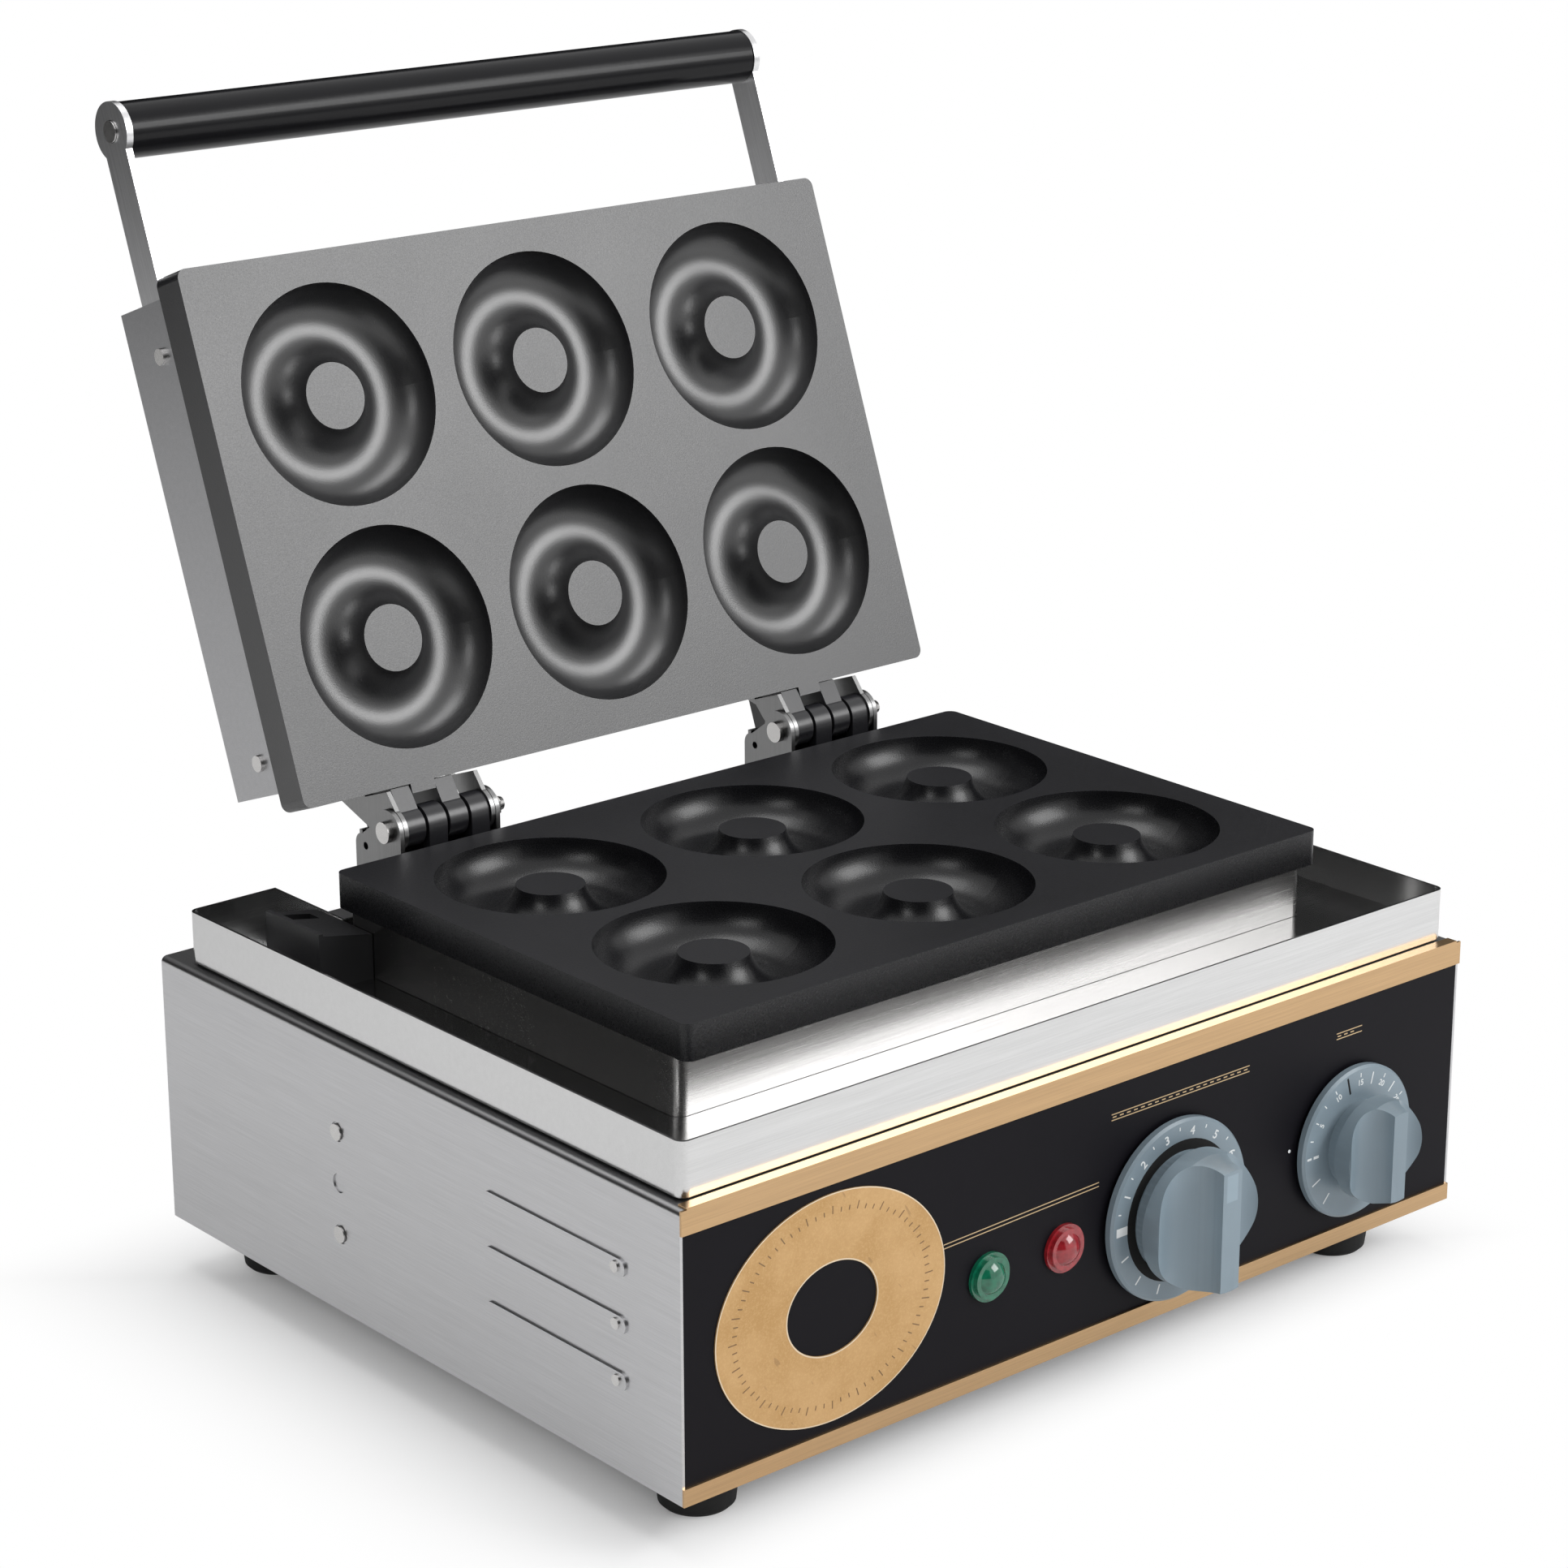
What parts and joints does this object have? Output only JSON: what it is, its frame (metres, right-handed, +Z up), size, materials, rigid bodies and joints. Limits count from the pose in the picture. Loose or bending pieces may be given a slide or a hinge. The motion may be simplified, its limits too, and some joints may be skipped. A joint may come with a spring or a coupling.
{
  "type": "donut maker",
  "caption": "Table-top donut maker: heated ring-mould plate on a sheet-steel casing with a hinged, handled upper plate, drip tray and two front dials.",
  "frame": {"origin": "on the table, under the middle of the whole object's plan with its lid open", "axes": "+Z up, front panel faces -Y, +X to the right as seen from the front"},
  "size_m": [0.4132, 0.447, 0.4682],
  "materials": {
    "casing_steel": "brushed stainless sheet with a horizontal grain",
    "sheet_steel": "plain steel sheet",
    "panel_black": "satin charcoal paint",
    "bronze_trim": "bronze anodised strip",
    "badge_gold": "satin gold plate, bare",
    "screw_steel": "plated steel",
    "foot_rubber": "black rubber",
    "seal_rubber": "black silicone",
    "tray_steel": "bright stainless sheet",
    "housing_steel": "brushed stainless sheet",
    "plate_black": "speckled black non-stick coating",
    "plate_upper": "speckled black non-stick coating",
    "element_steel": "heat-stained tube",
    "insulation": "mineral fibre board",
    "black_plastic": "matte black",
    "terminal_plastic": "cream",
    "switch_body": "moulded body",
    "copper": "copper tube",
    "green_lens": "clear green",
    "red_lens": "clear red",
    "lamp_body": "black",
    "hinge_steel": "pressed steel",
    "hinge_black": "black paint",
    "arm_steel": "steel strip",
    "grip_black": "black phenolic",
    "dial_grey": "blue-grey with plain white figures",
    "knob_grey": "blue-grey",
    "shaft_steel": "turned steel"
  },
  "bodies": {
    "base": {"casing": "casing_steel", "base_plate": "sheet_steel", "back_panel": "sheet_steel", "front_panel": "panel_black", "trim_top": "bronze_trim", "trim_bottom": "bronze_trim", "badge_plate": "badge_gold", "cross_brace": "sheet_steel", "side_screws": "screw_steel", "flange_rivets": "screw_steel", "foot_front_left": "foot_rubber", "foot_front_right": "foot_rubber", "foot_back_left": "foot_rubber", "foot_back_right": "foot_rubber", "foot_screws": "screw_steel", "drip_tray": "tray_steel", "tray_seal": "seal_rubber", "heater_housing": "housing_steel", "lower_plate": "plate_black", "lower_element": "element_steel", "lower_insulation": "insulation", "lower_studs": "screw_steel", "lead_box": "black_plastic", "gland_body": "black_plastic", "gland_nut": "black_plastic", "terminal_block": "terminal_plastic", "thermostat_body": "switch_body", "thermostat_bulb": "copper", "timer_body": "switch_body", "green_lens": "green_lens", "red_lens": "red_lens", "lamp_holders": "lamp_body", "hinge_bracket_left": "hinge_steel", "hinge_bracket_right": "hinge_steel", "hinge_leaf_left": "hinge_black", "hinge_leaf_right": "hinge_black", "hinge_bolts": "screw_steel", "hinge_nuts": "screw_steel", "bracket_screws": "screw_steel"},
    "lid": {"upper_plate": "plate_upper", "upper_element": "element_steel", "upper_insulation": "insulation", "upper_studs": "screw_steel", "lid_cover": "casing_steel", "handle_arm_left": "arm_steel", "handle_arm_right": "arm_steel", "handle_grip": "grip_black", "handle_rod": "screw_steel", "lid_screws": "screw_steel", "lid_bracket_left": "hinge_steel", "lid_bracket_right": "hinge_steel", "lid_lugs_left": "hinge_black", "lid_lugs_right": "hinge_black"},
    "thermostat_control": {"thermostat_dial": "dial_grey", "thermostat_knob": "knob_grey", "thermostat_shaft": "shaft_steel"},
    "timer_control": {"timer_dial": "dial_grey", "timer_knob": "knob_grey", "timer_shaft": "shaft_steel"}
  },
  "joints": [
    {"name": "lid_hinge", "type": "hinge", "parent": "base", "child": "lid", "pos_m": [0, 0.08752, 0.1854], "axis": [1, 0, 0], "range_deg": [0, 110.4]},
    {"name": "thermostat_turn", "type": "hinge", "parent": "base", "child": "thermostat_control", "pos_m": [0.04, -0.19648, 0.0665], "axis": [0, 1, 0], "range_deg": [0, 270]},
    {"name": "timer_turn", "type": "hinge", "parent": "base", "child": "timer_control", "pos_m": [0.1425, -0.19648, 0.0665], "axis": [0, 1, 0], "range_deg": [0, 300]}
  ]
}
